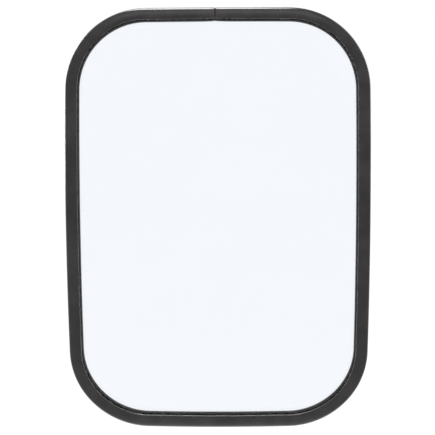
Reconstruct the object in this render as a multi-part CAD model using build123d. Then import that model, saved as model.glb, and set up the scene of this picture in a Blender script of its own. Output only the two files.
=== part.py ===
"""Rectangular convex security mirror with its ball-joint wall bracket.

Millimetres. The wall is the plane y = 0 and the mirror faces -Y, with +Z up and +X to the
right of somebody who looks into the mirror. The origin is the middle of the wall plate's
back face. Each function makes one sub-part, and main() writes each to parts/NODE.step.
"""

from build123d import *
import os
from math import cos, radians, sqrt, tan

# ---------------------------------------------------------------- mirror head
HEAD_W = 190.5  # over the edge trim, 7 1/2 in
HEAD_H = 266.7  # 10 1/2 in
HEAD_CORNER_R = 50.0  # outer corner radius of the trim
HEAD_DEPTH = 34.0  # lens apex to the outer face of the pan floor
LENS_R = 610.0  # radius of the spherical front, 24 in
GLASS_T = 2.8  # bent mirror glass
GLASS_SLACK = 0.3  # between the glass's edge and the trim's web
SILVER_T = 0.12  # silvering with its paint and shatter film
SILVER_GAP = 0.02

TRIM_FACE = 8.0  # width of the trim's lips, from its outside
TRIM_WEB_T = 2.2
TRIM_LIP_T = 2.0
TRIM_SHOULDER_R = 2.6
TRIM_JOINT_GAP = 0.3  # butt joint in the top run
TRIM_JOINT_X = -1.3

PAN_T = 0.9  # drawn steel back pan
PAN_DRAFT_DEG = 28.0
PAN_FLOOR_INSET = 25.5  # the pan floor's outline, in from the head's outline
PAN_FLOOR_R = 9.0  # outer radius between the walls and the floor
PAN_RIM_SLACK = 0.5  # between the flange's edge and the trim's web
RIVET_R, RIVET_HEAD_R, RIVET_HEAD_H = 2.0, 3.8, 1.3
RIVET_TAIL_R, RIVET_TAIL_H = 3.0, 1.6
RIVET_PITCH = 46.0
REINFORCER_SIDE, REINFORCER_T, REINFORCER_CORNER_R = 62.0, 1.5, 8.0
WELD_NUT_AF, WELD_NUT_T = 14.0, 6.5
PAD_W, PAD_H, PAD_X = 18.0, 150.0, 46.0  # foam strips behind the glass

# ---------------------------------------------------------------- ball stud and its clamp
BALL_Y = -86.0  # ball centre
BALL_R = 10.0
BALL_TO_PAN = 30.0  # ball centre to the pan floor's outer face
NECK_R = 3.5
COLLAR_AF, COLLAR_FROM, COLLAR_T = 14.0, 15.0, 5.0
STUD_END = 43.0  # ball centre to the stud's end
JAM_NUT_AF, JAM_NUT_T = 13.0, 5.0
STUD_WASHER_R, STUD_WASHER_T = 8.0, 1.6
SEAT_T = 1.2  # nylon ball seat
SEAT_PARTING = 0.4  # half of the gap between the two seat shells
SEAT_MOUTH_DEG = 52.5  # half-angle of the front seat's mouth
JAW_T = 2.2
JAW_HALF_W, JAW_HALF_H, JAW_CORNER_R = 34.0, 15.0, 12.0
JAW_GAP = 2.6  # between the two jaws' flanges
JAW_MOUTH_DEG = 60.0  # half-angle of the front jaw's mouth
JAW_BEND_R = 1.4  # where the dish rises from the flange
CLAMP_BOLT_X = 26.0
CARRIAGE_HEAD_R, CARRIAGE_HEAD_H, CARRIAGE_SQUARE = 6.6, 2.8, 5.0
BOLT_TAIL = 3.0  # bolt end beyond the wing nut's hub
FLAT_WASHER_R, FLAT_WASHER_T = 5.0, 1.0
SPRING_WASHER_R, SPRING_WASHER_T, SPRING_WASHER_CUT = 4.6, 1.3, 0.7
WING_HUB_R, WING_HUB_TOP_R, WING_HUB_H = 5.4, 4.4, 6.5
WING_SPAN, WING_TOP, WING_T = 12.4, 12.0, 2.4
WING_TIP_R, WING_ROOT_R = 4.4, 2.4
WING_ROOT_X, WING_ROOT_Y = 3.0, 3.2

# ---------------------------------------------------------------- swing arm and wall bracket
PIVOT_Y = -24.0  # swing hinge axis, vertical
BARREL_R, BARREL_L = 9.0, 30.0
BUSH_BODY_R, BUSH_BODY_L = 6.0, 11.0
BUSH_FLANGE_R, BUSH_FLANGE_T = 8.5, 1.5
ARM_TUBE_R, ARM_TUBE_WALL = 8.0, 1.6
PLATE_W, PLATE_H, PLATE_T, PLATE_CORNER_R = 64.0, 96.0, 3.0, 9.0
WALL_HOLE_X, WALL_HOLE_Z, WALL_HOLE_R = 20.0, 36.0, 3.2
LUG_T, LUG_W, LUG_FOOT_L = 3.0, 26.0, 12.0
LUG_BEND_OUT_R, LUG_BEND_IN_R = 1.5, 2.5
PIVOT_WASHER_R, PIVOT_WASHER_T = 8.0, 1.6
PIVOT_HEAD_AF, PIVOT_HEAD_H = 13.0, 5.3
LOCKNUT_H, LOCKNUT_HEX_H, LOCKNUT_COLLAR_R = 8.0, 5.6, 5.9
PIVOT_TAIL = 2.5  # bolt end beyond the lock nut

# ---------------------------------------------------------------- fits and edges
M8_R, M5_R = 4.0, 2.5
THREAD_END_CHAMFER = 0.8
RUNNING = 0.06  # radial clearance of a shaft in its bore
SLIP = 0.1  # between faces that slide over each other
TOUCH = 0.05  # between parts that meet on curved faces
BOLT_SLACK = 0.2  # radial, in jaws, lugs and washers
HOLE_SLACK = 0.4  # radial slack of a clearance hole
EDGE_R = 0.6  # rounded edges of the thick plates
CORNER_OF_FLATS = 1.155  # a hexagon's corners against its flats
CUT = 5.0  # how far a cutting tool reaches past the face that it opens

# ---------------------------------------------------------------- derived places
PAN_FLOOR_Y = BALL_Y - BALL_TO_PAN
APEX_Y = PAN_FLOOR_Y - HEAD_DEPTH
SPHERE_Y = APEX_Y + LENS_R  # centre of the lens's sphere
GLASS_BACK_R = LENS_R - GLASS_T
SILVER_FRONT_R = GLASS_BACK_R - SILVER_GAP
SILVER_BACK_R = SILVER_FRONT_R - SILVER_T
PAN_FRONT_R = SILVER_BACK_R - TOUCH
PAN_BACK_R = PAN_FRONT_R - PAN_T
PAN_INSIDE_Y = PAN_FLOOR_Y - PAN_T
REINFORCER_INSIDE_Y = PAN_INSIDE_Y - REINFORCER_T
STUD_WASHER_Y = PAN_FLOOR_Y + SLIP + STUD_WASHER_T  # the washer's face under the jam nut
SEAT_IN_R = BALL_R + SLIP
SEAT_OUT_R = SEAT_IN_R + SEAT_T
JAW_IN_R = SEAT_OUT_R + SLIP
JAW_OUT_R = JAW_IN_R + JAW_T
JAW_FACE = JAW_GAP / 2 + JAW_T  # ball centre to a jaw flange's outer face
REAR_JAW_Y = BALL_Y + JAW_FACE
SPRING_WASHER_Y = REAR_JAW_Y + FLAT_WASHER_T
WING_SEAT_Y = SPRING_WASHER_Y + SPRING_WASHER_T
BARREL_END_Z = BARREL_L / 2
LUG_IN_Z = BARREL_END_Z + BUSH_FLANGE_T + 2 * SLIP
LUG_OUT_Z = LUG_IN_Z + LUG_T


# ---------------------------------------------------------------- helpers
def along_y(sketch, rear_y, front_y):
    """A flat XZ outline made solid from rear_y forward to front_y."""
    return extrude(Plane.XZ.offset(-rear_y) * sketch, amount=rear_y - front_y)


def rod_y(radius, rear_y, front_y):
    return along_y(Circle(radius), rear_y, front_y)


def bore_y(radius, y):
    """A round cutter along Y that reaches past a sheet whose face is at y."""
    return rod_y(radius, y + CUT, y - CUT)


def rod_z(radius, low_z, high_z):
    """A round bar on the swing hinge's axis."""
    return Pos(0, PIVOT_Y, low_z) * extrude(Circle(radius), amount=high_z - low_z)


def upright(shape, z):
    """Moves something built on the XY plane to height z on the swing hinge's axis."""
    return Pos(0, PIVOT_Y, z) * shape


def ball(radius, y):
    return Pos(0, y, 0) * Sphere(radius)


def lens_ball(radius):
    """A ball about the lens's centre, turned so that its seam is away from the mirror."""
    return Pos(0, SPHERE_Y, 0) * Rot(0, 0, 90) * Sphere(radius)


def dome_radius(base_r, height):
    """Radius of the ball that a round dome of this base and height is cut from."""
    return (base_r**2 + height**2) / (2 * height)


def head_outline(inset):
    """The head's outline, drawn in by inset all round."""
    return RectangleRounded(HEAD_W - 2 * inset, HEAD_H - 2 * inset, HEAD_CORNER_R - inset)


def head_prism(inset):
    """The head's outline as a block that reaches past the lens and the pan floor."""
    return along_y(head_outline(inset), PAN_FLOOR_Y, APEX_Y - CUT)


def hexagon(across_flats):
    return RegularPolygon(across_flats / 2, 6, major_radius=False)


def hex_bar(across_flats, height, top_chamfered, bottom_chamfered):
    """A hexagon stood on z = 0, its corners turned off at the ends asked for."""
    corner_r = across_flats / 2 * CORNER_OF_FLATS
    bar = extrude(Circle(corner_r), amount=height)
    ends = bar.edges().filter_by(GeomType.CIRCLE).sort_by(Axis.Z)
    turned = [ends[0]] * bottom_chamfered + [ends[-1]] * top_chamfered
    bar = chamfer(turned, corner_r - across_flats / 2)
    return extrude(hexagon(across_flats), amount=height) & bar


def at_x(x, shape):
    return Pos(x, 0, 0) * shape


def group(shapes):
    """Separate solids that share one node."""
    return Compound(children=list(shapes))


def at_clamp_bolts(shape):
    """One of a thing on each clamp bolt."""
    return group(at_x(x, shape) for x in (-CLAMP_BOLT_X, CLAMP_BOLT_X))


# ---------------------------------------------------------------- mirror head
def mirror_glass():
    return head_prism(TRIM_WEB_T + GLASS_SLACK) & (lens_ball(LENS_R) - lens_ball(GLASS_BACK_R))


def silver_film():
    """Silvering, drawn in a little from the glass's edge."""
    return head_prism(TRIM_WEB_T + 2 * GLASS_SLACK) & (lens_ball(SILVER_FRONT_R) - lens_ball(SILVER_BACK_R))


def edge_trim():
    """Rubber channel round the rim: a web outside the glass, and a lip on each face."""
    front_r = LENS_R + TOUCH + TRIM_LIP_T
    rear_r = PAN_BACK_R - TOUCH - TRIM_LIP_T
    bar = (head_prism(0) & lens_ball(front_r)) - lens_ball(rear_r)
    bar = fillet(bar.edges().filter_by(Axis.Y, reverse=True), TRIM_SHOULDER_R)
    slot = head_prism(TRIM_WEB_T) & (lens_ball(LENS_R + TOUCH) - lens_ball(PAN_BACK_R - TOUCH))
    ring = bar - head_prism(TRIM_FACE) - slot
    joint_size = 3 * TRIM_FACE
    joint = Pos(TRIM_JOINT_X, APEX_Y, HEAD_H / 2) * Box(TRIM_JOINT_GAP, HEAD_DEPTH + joint_size, joint_size)
    return ring - joint


def tapered_block(floor_y, floor_inset, floor_r):
    """A block that widens forward from the pan floor at the pan's draft."""
    reach = 2 * HEAD_DEPTH
    spread = reach * tan(radians(PAN_DRAFT_DEG))
    floor = Plane.XZ.offset(-floor_y) * head_outline(floor_inset)
    mouth = Plane.XZ.offset(-floor_y + reach) * head_outline(floor_inset - spread)
    block = loft([floor, mouth], ruled=True)
    return fillet(block.faces().sort_by(Axis.Y)[-1].edges(), floor_r)


def rivet_places():
    half = RIVET_PITCH / 2
    return [(x, z) for x in (-half, half) for z in (-half, half)]


def pierced(sheet, y):
    """Cuts the stud's hole and the four rivet holes."""
    sheet -= bore_y(M8_R + HOLE_SLACK, y)
    for x, z in rivet_places():
        sheet -= Pos(x, 0, z) * bore_y(RIVET_R, y)
    return sheet


def back_pan():
    """Drawn pan: a flange that follows the lens, drafted walls and a flat floor."""
    draft = radians(PAN_DRAFT_DEG)
    inner_inset = PAN_FLOOR_INSET - PAN_T * tan(draft) + PAN_T / cos(draft)
    front = lens_ball(PAN_FRONT_R)
    outer = tapered_block(PAN_FLOOR_Y, PAN_FLOOR_INSET, PAN_FLOOR_R)
    inner = tapered_block(PAN_INSIDE_Y, inner_inset, PAN_FLOOR_R - PAN_T)
    flange = head_prism(TRIM_WEB_T + PAN_RIM_SLACK) & (front - lens_ball(PAN_BACK_R))
    return pierced((outer & front) + flange - inner, PAN_FLOOR_Y)


def reinforcing_plate():
    outline = RectangleRounded(REINFORCER_SIDE, REINFORCER_SIDE, REINFORCER_CORNER_R)
    return pierced(along_y(outline, PAN_INSIDE_Y, REINFORCER_INSIDE_Y), PAN_INSIDE_Y)


def rivets():
    """Blind rivets that hold the reinforcing plate to the pan."""
    dome_r = dome_radius(RIVET_HEAD_R, RIVET_HEAD_H)
    dome = ball(dome_r, PAN_FLOOR_Y + RIVET_HEAD_H - dome_r)
    head = dome & rod_y(RIVET_HEAD_R, PAN_FLOOR_Y + dome_r, PAN_FLOOR_Y)
    shank = rod_y(RIVET_R, PAN_FLOOR_Y, REINFORCER_INSIDE_Y)
    tail = rod_y(RIVET_TAIL_R, REINFORCER_INSIDE_Y, REINFORCER_INSIDE_Y - RIVET_TAIL_H)
    rivet = head + shank + tail
    return group(Pos(x, 0, z) * rivet for x, z in rivet_places())


def weld_nut():
    nut = along_y(hexagon(WELD_NUT_AF), REINFORCER_INSIDE_Y, REINFORCER_INSIDE_Y - WELD_NUT_T)
    return nut - rod_y(M8_R + RUNNING, PAN_FLOOR_Y, APEX_Y)


def foam_pads():
    """Two closed-cell strips between the pan floor and the back of the mirror."""
    pad = along_y(Rectangle(PAD_W, PAD_H), PAN_INSIDE_Y, APEX_Y)
    return group(at_x(x, pad) & lens_ball(PAN_FRONT_R) for x in (-PAD_X, PAD_X))


# ---------------------------------------------------------------- ball stud
def ball_stud():
    """Ball, waisted neck, hexagonal collar and M8 shank in one turning."""
    collar_y = BALL_Y - COLLAR_FROM
    shank_y = collar_y - COLLAR_T
    neck = rod_y(NECK_R, BALL_Y, collar_y)
    collar = along_y(hexagon(COLLAR_AF), collar_y, shank_y)
    shank = rod_y(M8_R, shank_y, BALL_Y - STUD_END)
    shank = chamfer(shank.faces().sort_by(Axis.Y)[0].edges(), THREAD_END_CHAMFER)
    return ball(BALL_R, BALL_Y) + neck + collar + shank


def jam_nut():
    nut = hex_bar(JAM_NUT_AF, JAM_NUT_T, True, True) - extrude(Circle(M8_R), amount=JAM_NUT_T)
    return Pos(0, STUD_WASHER_Y, 0) * Rot(-90, 0, 0) * nut


def stud_washer():
    disc = rod_y(STUD_WASHER_R, STUD_WASHER_Y, STUD_WASHER_Y - STUD_WASHER_T)
    return disc - bore_y(M8_R + BOLT_SLACK, STUD_WASHER_Y)


# ---------------------------------------------------------------- ball seat and jaws
def half_space(side, near_y, size):
    """A block that keeps the wall side (+1) or the mirror side (-1) of the plane near_y."""
    return Pos(0, near_y + side * size / 2, 0) * Box(2 * size, size, 2 * size)


def seat_shell(side):
    """Half of the nylon seat: side is +1 for the wall side and -1 for the mirror side."""
    shell = ball(SEAT_OUT_R, BALL_Y) - ball(SEAT_IN_R, BALL_Y)
    return shell & half_space(side, BALL_Y + side * SEAT_PARTING, 2 * SEAT_OUT_R)


def mouth(radius, mouth_deg):
    """Cutter for the stud's mouth: everything beyond a circle of latitude on a ball."""
    mouth_y = BALL_Y - radius * cos(radians(mouth_deg))
    return rod_y(2 * radius, mouth_y, BALL_Y - 2 * radius)


def seat_front():
    return seat_shell(-1) - mouth(SEAT_IN_R, SEAT_MOUTH_DEG)


def seat_rear():
    return seat_shell(1)


def jaw_blank(side):
    """Pressed jaw plate with its round dish; side is +1 for the wall side."""
    near = BALL_Y + side * JAW_GAP / 2
    far = near + side * JAW_T
    outline = RectangleRounded(2 * JAW_HALF_W, 2 * JAW_HALF_H, JAW_CORNER_R)
    flange = along_y(outline, max(near, far), min(near, far))
    flange = fillet(flange.edges().filter_by(Axis.Y, reverse=True), EDGE_R)
    blank = flange + (ball(JAW_OUT_R, BALL_Y) & half_space(side, near, 2 * JAW_OUT_R))
    rim_r = sqrt(JAW_OUT_R**2 - JAW_FACE**2)
    rims = [e for e in blank.edges().filter_by(GeomType.CIRCLE) if abs(e.radius - rim_r) < SLIP]
    return fillet(rims, JAW_BEND_R) - ball(JAW_IN_R, BALL_Y)


def rear_jaw():
    """Jaw with a closed dish, welded to the arm's end."""
    jaw = jaw_blank(1)
    for x in (-CLAMP_BOLT_X, CLAMP_BOLT_X):
        jaw -= at_x(x, bore_y(M5_R + BOLT_SLACK, REAR_JAW_Y))
    return jaw


def front_jaw():
    """Loose jaw with the stud's mouth, and square holes that stop the bolts turning."""
    jaw = jaw_blank(-1) - mouth(JAW_IN_R, JAW_MOUTH_DEG)
    square = Rectangle(CARRIAGE_SQUARE + BOLT_SLACK, CARRIAGE_SQUARE + BOLT_SLACK)
    for x in (-CLAMP_BOLT_X, CLAMP_BOLT_X):
        jaw -= at_x(x, along_y(square, BALL_Y, BALL_Y - JAW_FACE - CUT))
    return jaw


def carriage_bolts():
    """M5 carriage bolts, heads on the mirror side."""
    dome_r = dome_radius(CARRIAGE_HEAD_R, CARRIAGE_HEAD_H)
    head_y = BALL_Y - JAW_FACE
    dome = ball(dome_r, head_y - CARRIAGE_HEAD_H + dome_r)
    head = dome & rod_y(CARRIAGE_HEAD_R, head_y, head_y - dome_r)
    neck = along_y(Rectangle(CARRIAGE_SQUARE, CARRIAGE_SQUARE), head_y + JAW_T, head_y)
    shank = rod_y(M5_R, WING_SEAT_Y + WING_HUB_H + BOLT_TAIL, head_y)
    shank = chamfer(shank.faces().sort_by(Axis.Y)[-1].edges(), THREAD_END_CHAMFER / 2)
    return at_clamp_bolts(head + neck + shank)


def clamp_washers():
    """Flat washers on the rear jaw, under the spring washers."""
    disc = rod_y(FLAT_WASHER_R, SPRING_WASHER_Y, REAR_JAW_Y)
    return at_clamp_bolts(disc - bore_y(M5_R + BOLT_SLACK, REAR_JAW_Y))


def spring_washers():
    """Split spring washers, each with its slanting cut."""
    slant_deg = 35
    coil = rod_y(SPRING_WASHER_R, WING_SEAT_Y, SPRING_WASHER_Y)
    coil -= bore_y(M5_R + BOLT_SLACK, SPRING_WASHER_Y)
    middle = Pos(0, (SPRING_WASHER_Y + WING_SEAT_Y) / 2, SPRING_WASHER_R)
    coil -= middle * Rot(0, 0, slant_deg) * Box(SPRING_WASHER_CUT, CUT, 2 * (SPRING_WASHER_R - M5_R))
    return at_clamp_bolts(coil)


def wing_nut(x):
    """Wing nut on the rear of the clamp: a tapered hub with two raised ears."""
    base_y = WING_SEAT_Y + SLIP
    hub = Rot(-90, 0, 0) * Cone(
        WING_HUB_R, WING_HUB_TOP_R, WING_HUB_H, align=(Align.CENTER, Align.CENTER, Align.MIN))
    tip = Pos(WING_SPAN - WING_TIP_R, WING_TOP - WING_TIP_R) * Circle(WING_TIP_R)
    root = Pos(WING_ROOT_X, WING_ROOT_Y) * Circle(WING_ROOT_R)
    ear = extrude(make_hull([*tip.edges(), *root.edges()]), amount=WING_T / 2, both=True)
    ear = fillet(ear.edges(), EDGE_R)
    nut = hub + ear + mirror(ear, about=Plane.YZ) - rod_y(M5_R + RUNNING, WING_TOP, -CUT)
    return Pos(x, base_y, 0) * nut


def wing_nut_left():
    return wing_nut(-CLAMP_BOLT_X)


def wing_nut_right():
    return wing_nut(CLAMP_BOLT_X)


# ---------------------------------------------------------------- swing arm
def arm_barrel():
    barrel = rod_z(BARREL_R, -BARREL_END_Z, BARREL_END_Z)
    barrel = chamfer(barrel.edges().filter_by(GeomType.CIRCLE), EDGE_R)
    return barrel - rod_z(BUSH_BODY_R, -BARREL_L, BARREL_L)


def arm_tube():
    """Tube coped to the barrel at one end and to the rear jaw's dish at the other."""
    tube = rod_y(ARM_TUBE_R, PIVOT_Y, BALL_Y) - rod_y(ARM_TUBE_R - ARM_TUBE_WALL, PIVOT_Y, BALL_Y)
    tube -= rod_z(BARREL_R, -BARREL_L, BARREL_L)
    tube -= ball(JAW_OUT_R, BALL_Y)
    return tube.solids().sort_by(SortBy.VOLUME)[-1]


def pivot_bush(side):
    """Flanged nylon bush, pressed into an end of the barrel."""
    body = rod_z(BUSH_BODY_R, BARREL_END_Z - BUSH_BODY_L, BARREL_END_Z)
    flange = rod_z(BUSH_FLANGE_R, BARREL_END_Z, BARREL_END_Z + BUSH_FLANGE_T)
    bush = body + flange - rod_z(M8_R + RUNNING, 0, BARREL_L)
    return bush if side > 0 else mirror(bush, about=Plane.XY)


def pivot_bush_upper():
    return pivot_bush(1)


def pivot_bush_lower():
    return pivot_bush(-1)


# ---------------------------------------------------------------- wall bracket
def wall_plate():
    plate = along_y(RectangleRounded(PLATE_W, PLATE_H, PLATE_CORNER_R), 0, -PLATE_T)
    plate = fillet(plate.faces().sort_by(Axis.Y)[0].edges(), EDGE_R)
    for x in (-WALL_HOLE_X, WALL_HOLE_X):
        for z in (-WALL_HOLE_Z, WALL_HOLE_Z):
            plate -= Pos(x, 0, z) * bore_y(WALL_HOLE_R, 0)
    return plate


def edges_along_x(shape, y, z):
    """The shape's straight edges along X at one height and depth."""
    found = shape.edges().filter_by(Axis.X)
    return [e for e in found if abs(e.center().Y - y) < SLIP and abs(e.center().Z - z) < SLIP]


def hinge_lug(side):
    """Bent lug: a foot welded to the wall plate, and an ear that holds the pivot bolt."""
    reach = -PLATE_T - PIVOT_Y
    ear_end = Pos(0, PIVOT_Y) * Circle(LUG_W / 2)
    ear = ear_end + Pos(0, PIVOT_Y + reach / 2) * Rectangle(LUG_W, reach)
    ear = Pos(0, 0, LUG_IN_Z) * extrude(ear, amount=LUG_T)
    foot = Pos(0, -PLATE_T - LUG_T / 2, LUG_IN_Z + LUG_FOOT_L / 2) * Box(LUG_W, LUG_T, LUG_FOOT_L)
    lug = ear + foot
    lug = fillet(edges_along_x(lug, -PLATE_T - LUG_T, LUG_OUT_Z), LUG_BEND_OUT_R)
    lug = fillet(edges_along_x(lug, -PLATE_T, LUG_IN_Z), LUG_BEND_IN_R)
    rounds = [e for e in lug.edges().filter_by(GeomType.CIRCLE) if abs(e.radius - LUG_W / 2) < SLIP]
    lug = fillet(rounds, EDGE_R)
    lug -= rod_z(M8_R + BOLT_SLACK, 0, LUG_OUT_Z + CUT)
    return lug if side > 0 else mirror(lug, about=Plane.XY)


def hinge_lug_upper():
    return hinge_lug(1)


def hinge_lug_lower():
    return hinge_lug(-1)


def pivot_bolt():
    """M8 hexagon bolt, dropped in from above."""
    head_z = LUG_OUT_Z + PIVOT_WASHER_T
    shank = rod_z(M8_R, -head_z - LOCKNUT_H - PIVOT_TAIL, head_z)
    shank = chamfer(shank.faces().sort_by(Axis.Z)[0].edges(), THREAD_END_CHAMFER)
    return shank + upright(hex_bar(PIVOT_HEAD_AF, PIVOT_HEAD_H, True, False), head_z)


def pivot_washers():
    disc = extrude(Circle(PIVOT_WASHER_R) - Circle(M8_R + BOLT_SLACK), amount=PIVOT_WASHER_T)
    return group([upright(disc, LUG_OUT_Z), upright(disc, -LUG_OUT_Z - PIVOT_WASHER_T)])


def pivot_locknut():
    """Nylon-insert lock nut under the lower lug: a hexagon with a rounded collar."""
    collar = extrude(Circle(LOCKNUT_COLLAR_R), amount=LOCKNUT_H)
    collar = fillet(collar.faces().sort_by(Axis.Z)[-1].edges(), 2 * EDGE_R)
    nut = hex_bar(PIVOT_HEAD_AF, LOCKNUT_HEX_H, True, True) + collar - extrude(Circle(M8_R), amount=LOCKNUT_H)
    return upright(Rot(180, 0, 0) * nut, -LUG_OUT_Z - PIVOT_WASHER_T)


NODES = [
    mirror_glass, silver_film, edge_trim, back_pan, reinforcing_plate, rivets, weld_nut, foam_pads,
    ball_stud, jam_nut, stud_washer, seat_front, seat_rear, rear_jaw, front_jaw, carriage_bolts,
    clamp_washers, spring_washers, wing_nut_left, wing_nut_right, arm_barrel, arm_tube,
    pivot_bush_upper, pivot_bush_lower, wall_plate, hinge_lug_upper, hinge_lug_lower, pivot_bolt,
    pivot_washers, pivot_locknut,
]


def main():
    os.makedirs("parts", exist_ok=True)
    for make in NODES:
        export_step(make(), f"parts/{make.__name__}.step")


main()
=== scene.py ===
"""Looks of a rectangular convex security mirror on its ball-joint wall bracket.

Everything is in metres, in the CAD model's frame: the wall is y = 0, the mirror faces -Y,
+Z is up and +X is to the right of somebody who looks into the mirror.
"""

from math import asin, atan2, ceil, copysign, cos, degrees, exp, hypot, pi, radians, sin, sqrt, tan

import bmesh
import bpy
from mathutils import Matrix, Vector


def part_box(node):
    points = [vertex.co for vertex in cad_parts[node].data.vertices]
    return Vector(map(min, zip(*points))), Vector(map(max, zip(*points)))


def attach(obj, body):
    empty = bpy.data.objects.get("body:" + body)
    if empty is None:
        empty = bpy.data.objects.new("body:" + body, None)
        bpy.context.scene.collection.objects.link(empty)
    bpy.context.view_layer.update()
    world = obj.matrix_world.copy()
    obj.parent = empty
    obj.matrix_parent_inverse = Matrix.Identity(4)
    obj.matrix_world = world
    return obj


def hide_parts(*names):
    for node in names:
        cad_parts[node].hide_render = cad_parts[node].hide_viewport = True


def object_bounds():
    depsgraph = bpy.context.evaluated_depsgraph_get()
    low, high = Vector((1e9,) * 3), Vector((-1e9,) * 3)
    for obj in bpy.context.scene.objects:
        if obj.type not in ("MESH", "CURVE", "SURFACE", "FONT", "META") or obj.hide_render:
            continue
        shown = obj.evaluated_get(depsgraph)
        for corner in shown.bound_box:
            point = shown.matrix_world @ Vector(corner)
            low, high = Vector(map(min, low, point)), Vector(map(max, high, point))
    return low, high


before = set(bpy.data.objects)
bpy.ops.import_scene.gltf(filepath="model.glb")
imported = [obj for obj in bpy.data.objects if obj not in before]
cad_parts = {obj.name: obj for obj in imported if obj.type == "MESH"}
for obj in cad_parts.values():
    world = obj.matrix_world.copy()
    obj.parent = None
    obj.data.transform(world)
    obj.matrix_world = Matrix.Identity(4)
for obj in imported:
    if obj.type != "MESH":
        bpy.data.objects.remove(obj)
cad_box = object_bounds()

MM = 0.001

# ---------------------------------------------------------------- sizes
# The frame gives the outline and the depths; the rest are the CAD model's driving dimensions.
TRIM_LOW, TRIM_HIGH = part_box("edge_trim")
HEAD_W = TRIM_HIGH.x - TRIM_LOW.x
HEAD_H = TRIM_HIGH.z - TRIM_LOW.z
HEAD_CORNER_R = 50 * MM
APEX_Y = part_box("mirror_glass")[0].y
PAN_FLOOR_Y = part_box("back_pan")[1].y
BALL_Y = -86 * MM
PIVOT_Y = -24 * MM

LENS_R = 610 * MM
SPHERE_Y = APEX_Y + LENS_R
GLASS_T = 2.8 * MM
GLASS_SLACK = 0.3 * MM
SILVER_T = 0.12 * MM
SILVER_GAP = 0.02 * MM
TOUCH = 0.05 * MM
TRIM_FACE = 8 * MM
TRIM_WEB_T = 2.2 * MM
TRIM_LIP_T = 2.0 * MM
TRIM_JOINT_X = -1.3 * MM
PAN_T = 0.9 * MM
PAN_DRAFT = radians(28)
PAN_FLOOR_INSET = 25.5 * MM
GLASS_BACK_R = LENS_R - GLASS_T
SILVER_FRONT_R = GLASS_BACK_R - SILVER_GAP
SILVER_BACK_R = SILVER_FRONT_R - SILVER_T
PAN_FRONT_R = SILVER_BACK_R - TOUCH
PAN_BACK_R = PAN_FRONT_R - PAN_T

# The trim's finer shape, where CAD has flat, even lips and a plain shoulder: the crowned face drops
# towards the rounded lip edge and towards the shoulder, it leans by an angle in radians where the
# shoulder starts, and the lips are seated further in along the bottom than along the top.
TRIM_EDGE_R = 1.5 * MM
TRIM_SHOULDER_R = 1.9 * MM
TRIM_EDGE_DROP = 0.15 * MM
TRIM_SHOULDER_DROP = 0.28 * MM
TRIM_SHOULDER_LEAN = 2 * TRIM_SHOULDER_DROP / (TRIM_FACE - TRIM_EDGE_R - TRIM_SHOULDER_R)
TRIM_SEAT_SHIFT = 0.70 * MM


# ---------------------------------------------------------------- mesh helpers
def mesh_object(name, verts, faces, sharp_deg=40, uvs=None):
    """A smooth-shaded mesh with sharp edges above an angle; uvs has one pair per face corner."""
    mesh = bpy.data.meshes.new(name)
    mesh.from_pydata([tuple(v) for v in verts], [], faces)
    mesh.polygons.foreach_set("use_smooth", [True] * len(mesh.polygons))
    if uvs:
        layer = mesh.uv_layers.new(name="UVMap")
        for face, corners in zip(mesh.polygons, uvs):
            for loop, uv in zip(face.loop_indices, corners):
                layer.data[loop].uv = uv
    mesh.set_sharp_from_angle(angle=radians(sharp_deg))
    mesh.update()
    made = bpy.data.objects.new(name, mesh)
    bpy.context.scene.collection.objects.link(made)
    return made


def sphere_y(radius, x, z):
    """Y of the lens-centred sphere over a point of the XZ plane, on the mirror's side."""
    return SPHERE_Y - sqrt(radius * radius - x * x - z * z)


def finish_piece(made, body, slot, material, *nodes):
    """The calls that every new piece needs."""
    made.data.materials.clear()
    made.data.materials.append(material)
    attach(made, body)
    if nodes:
        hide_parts(*nodes)
    return made


# ---------------------------------------------------------------- head outline
def head_path(step=4 * MM, start_x=0.0):
    """(x, z, nx, nz, distance) round the head's outside, clockwise from start_x on the top run."""
    half_w, half_h, r = HEAD_W / 2, HEAD_H / 2, HEAD_CORNER_R
    run_w, run_h = half_w - r, half_h - r
    corners = [(run_w, run_h, 90), (run_w, -run_h, 0), (-run_w, -run_h, -90), (-run_w, run_h, -180)]
    starts = [(start_x, half_h), (half_w, run_h), (run_w, -half_h), (-half_w, -run_h)]
    corner_step = step * 0.6
    samples = []

    def straight(a, b, normal):
        count = max(2, ceil(hypot(b[0] - a[0], b[1] - a[1]) / step))
        for k in range(count):
            t = k / count
            samples.append((a[0] + (b[0] - a[0]) * t, a[1] + (b[1] - a[1]) * t, *normal))

    for start, (cx, cz, deg) in zip(starts, corners):
        normal = (round(cos(radians(deg))), round(sin(radians(deg))))
        straight(start, (cx + r * normal[0], cz + r * normal[1]), normal)
        count = ceil(r * pi / 2 / corner_step)
        for k in range(count):
            angle = radians(deg - 90 * k / count)
            samples.append((cx + r * cos(angle), cz + r * sin(angle), cos(angle), sin(angle)))
    straight((-run_w, half_h), (start_x, half_h), (0, 1))
    walked, out = 0.0, []
    for k, (x, z, nx, nz) in enumerate(samples):
        if k:
            walked += hypot(x - samples[k - 1][0], z - samples[k - 1][1])
        out.append((x, z, nx, nz, walked))
    return out


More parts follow.
